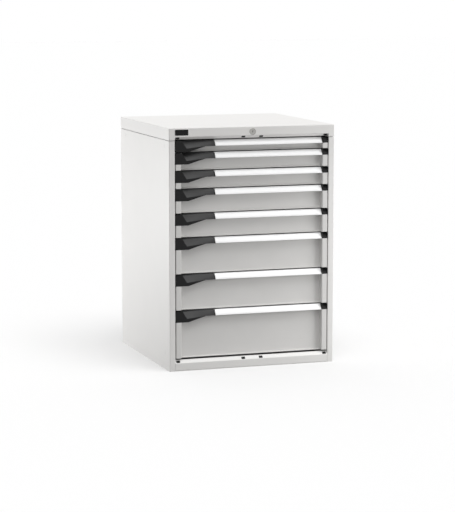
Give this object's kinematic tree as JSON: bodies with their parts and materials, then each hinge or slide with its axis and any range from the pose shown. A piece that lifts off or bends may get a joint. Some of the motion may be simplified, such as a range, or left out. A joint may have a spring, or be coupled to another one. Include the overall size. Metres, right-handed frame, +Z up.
{
  "type": "drawer cabinet",
  "caption": "Steel workshop drawer cabinet with full-width drawers of rising height, label-strip handles, side grips with catches, roller slides and a central lock.",
  "frame": {"origin": "on the floor, at the centre of the cabinet's box", "axes": "+X to the right as seen from the drawer fronts, +Y from the drawer fronts to the back, +Z up"},
  "size_m": [0.717, 0.728, 1],
  "materials": {
    "shell_paint": "light grey powder coat, satin",
    "drawer_paint": "light grey powder coat, satin",
    "slide_steel": "zinc plated sheet",
    "bright_steel": "bright plated steel",
    "lock_nickel": "satin nickel",
    "grip_plastic": "fine-grained black moulding",
    "lever_plastic": "black moulding",
    "plug_plastic": "black moulding",
    "badge_plastic": "plain glossy black",
    "label_strip": "white strip under a clear face"
  },
  "bodies": {
    "cabinet": {"left_side_panel": "shell_paint", "right_side_panel": "shell_paint", "back_panel": "shell_paint", "back_panel_screws": "bright_steel", "top_cover": "shell_paint", "top_front_rail": "shell_paint", "bottom_front_rail": "shell_paint", "base_frame": "shell_paint", "front_columns": "shell_paint", "rear_columns": "shell_paint", "slide_channels": "slide_steel", "catch_keepers": "slide_steel", "slot_plugs": "plug_plastic", "badge_plate": "badge_plastic", "lock_barrel": "lock_nickel", "lock_nut": "bright_steel", "lock_brackets": "slide_steel"},
    "lock_cylinder": {"lock_plug": "lock_nickel", "lock_shaft": "bright_steel"},
    "locking_bar": {"lock_bar": "slide_steel"},
    "drawer_1": {"drawer_1_body": "drawer_paint", "drawer_1_handle": "label_strip", "drawer_1_end_grips": "grip_plastic"},
    "slides_1": {"drawer_1_slides": "slide_steel"},
    "catch_1": {"drawer_1_catch_lever": "lever_plastic"},
    "drawer_2": {"drawer_2_body": "drawer_paint", "drawer_2_handle": "label_strip", "drawer_2_end_grips": "grip_plastic"},
    "slides_2": {"drawer_2_slides": "slide_steel"},
    "catch_2": {"drawer_2_catch_lever": "lever_plastic"},
    "drawer_3": {"drawer_3_body": "drawer_paint", "drawer_3_handle": "label_strip", "drawer_3_end_grips": "grip_plastic"},
    "slides_3": {"drawer_3_slides": "slide_steel"},
    "catch_3": {"drawer_3_catch_lever": "lever_plastic"},
    "drawer_4": {"drawer_4_body": "drawer_paint", "drawer_4_handle": "label_strip", "drawer_4_end_grips": "grip_plastic"},
    "slides_4": {"drawer_4_slides": "slide_steel"},
    "catch_4": {"drawer_4_catch_lever": "lever_plastic"},
    "drawer_5": {"drawer_5_body": "drawer_paint", "drawer_5_handle": "label_strip", "drawer_5_end_grips": "grip_plastic"},
    "slides_5": {"drawer_5_slides": "slide_steel"},
    "catch_5": {"drawer_5_catch_lever": "lever_plastic"},
    "drawer_6": {"drawer_6_body": "drawer_paint", "drawer_6_handle": "label_strip", "drawer_6_end_grips": "grip_plastic"},
    "slides_6": {"drawer_6_slides": "slide_steel"},
    "catch_6": {"drawer_6_catch_lever": "lever_plastic"},
    "drawer_7": {"drawer_7_body": "drawer_paint", "drawer_7_handle": "label_strip", "drawer_7_end_grips": "grip_plastic"},
    "slides_7": {"drawer_7_slides": "slide_steel"},
    "catch_7": {"drawer_7_catch_lever": "lever_plastic"},
    "drawer_8": {"drawer_8_body": "drawer_paint", "drawer_8_handle": "label_strip", "drawer_8_end_grips": "grip_plastic"},
    "slides_8": {"drawer_8_slides": "slide_steel"},
    "catch_8": {"drawer_8_catch_lever": "lever_plastic"}
  },
  "joints": [
    {"name": "lock_turn", "type": "hinge", "parent": "cabinet", "child": "lock_cylinder", "pos_m": [0, 0, 0.979], "axis": [0, 1, 0], "range_deg": [0, 90]},
    {"name": "locking_bar_lift", "type": "slide", "parent": "cabinet", "child": "locking_bar", "axis": [0, 0, 1], "range_m": [0, 0.012]},
    {"name": "drawer_1_pull", "type": "slide", "parent": "cabinet", "child": "drawer_1", "axis": [0, -1, 0], "range_m": [0, 0.6]},
    {"name": "slides_1_travel", "type": "slide", "parent": "cabinet", "child": "slides_1", "axis": [0, -1, 0], "range_m": [0, 0.3]},
    {"name": "catch_1_squeeze", "type": "hinge", "parent": "drawer_1", "child": "catch_1", "pos_m": [-0.3065, -0.3525, 0.91], "axis": [1, 0, 0], "range_deg": [0, 6], "stiffness_Nm_per_rad": 0.6},
    {"name": "drawer_2_pull", "type": "slide", "parent": "cabinet", "child": "drawer_2", "axis": [0, -1, 0], "range_m": [0, 0.6]},
    {"name": "slides_2_travel", "type": "slide", "parent": "cabinet", "child": "slides_2", "axis": [0, -1, 0], "range_m": [0, 0.3]},
    {"name": "catch_2_squeeze", "type": "hinge", "parent": "drawer_2", "child": "catch_2", "pos_m": [-0.3065, -0.3525, 0.86], "axis": [1, 0, 0], "range_deg": [0, 6], "stiffness_Nm_per_rad": 0.6},
    {"name": "drawer_3_pull", "type": "slide", "parent": "cabinet", "child": "drawer_3", "axis": [0, -1, 0], "range_m": [0, 0.6]},
    {"name": "slides_3_travel", "type": "slide", "parent": "cabinet", "child": "slides_3", "axis": [0, -1, 0], "range_m": [0, 0.3]},
    {"name": "catch_3_squeeze", "type": "hinge", "parent": "drawer_3", "child": "catch_3", "pos_m": [-0.3065, -0.3525, 0.785], "axis": [1, 0, 0], "range_deg": [0, 6], "stiffness_Nm_per_rad": 0.6},
    {"name": "drawer_4_pull", "type": "slide", "parent": "cabinet", "child": "drawer_4", "axis": [0, -1, 0], "range_m": [0, 0.6]},
    {"name": "slides_4_travel", "type": "slide", "parent": "cabinet", "child": "slides_4", "axis": [0, -1, 0], "range_m": [0, 0.3]},
    {"name": "catch_4_squeeze", "type": "hinge", "parent": "drawer_4", "child": "catch_4", "pos_m": [-0.3065, -0.3525, 0.71], "axis": [1, 0, 0], "range_deg": [0, 6], "stiffness_Nm_per_rad": 0.6},
    {"name": "drawer_5_pull", "type": "slide", "parent": "cabinet", "child": "drawer_5", "axis": [0, -1, 0], "range_m": [0, 0.6]},
    {"name": "slides_5_travel", "type": "slide", "parent": "cabinet", "child": "slides_5", "axis": [0, -1, 0], "range_m": [0, 0.3]},
    {"name": "catch_5_squeeze", "type": "hinge", "parent": "drawer_5", "child": "catch_5", "pos_m": [-0.3065, -0.3525, 0.61], "axis": [1, 0, 0], "range_deg": [0, 6], "stiffness_Nm_per_rad": 0.6},
    {"name": "drawer_6_pull", "type": "slide", "parent": "cabinet", "child": "drawer_6", "axis": [0, -1, 0], "range_m": [0, 0.6]},
    {"name": "slides_6_travel", "type": "slide", "parent": "cabinet", "child": "slides_6", "axis": [0, -1, 0], "range_m": [0, 0.3]},
    {"name": "catch_6_squeeze", "type": "hinge", "parent": "drawer_6", "child": "catch_6", "pos_m": [-0.3065, -0.3525, 0.51], "axis": [1, 0, 0], "range_deg": [0, 6], "stiffness_Nm_per_rad": 0.6},
    {"name": "drawer_7_pull", "type": "slide", "parent": "cabinet", "child": "drawer_7", "axis": [0, -1, 0], "range_m": [0, 0.6]},
    {"name": "slides_7_travel", "type": "slide", "parent": "cabinet", "child": "slides_7", "axis": [0, -1, 0], "range_m": [0, 0.3]},
    {"name": "catch_7_squeeze", "type": "hinge", "parent": "drawer_7", "child": "catch_7", "pos_m": [-0.3065, -0.3525, 0.36], "axis": [1, 0, 0], "range_deg": [0, 6], "stiffness_Nm_per_rad": 0.6},
    {"name": "drawer_8_pull", "type": "slide", "parent": "cabinet", "child": "drawer_8", "axis": [0, -1, 0], "range_m": [0, 0.6]},
    {"name": "slides_8_travel", "type": "slide", "parent": "cabinet", "child": "slides_8", "axis": [0, -1, 0], "range_m": [0, 0.3]},
    {"name": "catch_8_squeeze", "type": "hinge", "parent": "drawer_8", "child": "catch_8", "pos_m": [-0.3065, -0.3525, 0.21], "axis": [1, 0, 0], "range_deg": [0, 6], "stiffness_Nm_per_rad": 0.6}
  ],
  "couplings": [
    {"joint": "locking_bar_lift", "follows": "lock_turn", "m_per_rad": 0.0076394},
    {"joint": "slides_1_travel", "follows": "drawer_1_pull", "ratio": 0.5},
    {"joint": "slides_2_travel", "follows": "drawer_2_pull", "ratio": 0.5},
    {"joint": "slides_3_travel", "follows": "drawer_3_pull", "ratio": 0.5},
    {"joint": "slides_4_travel", "follows": "drawer_4_pull", "ratio": 0.5},
    {"joint": "slides_5_travel", "follows": "drawer_5_pull", "ratio": 0.5},
    {"joint": "slides_6_travel", "follows": "drawer_6_pull", "ratio": 0.5},
    {"joint": "slides_7_travel", "follows": "drawer_7_pull", "ratio": 0.5},
    {"joint": "slides_8_travel", "follows": "drawer_8_pull", "ratio": 0.5}
  ]
}
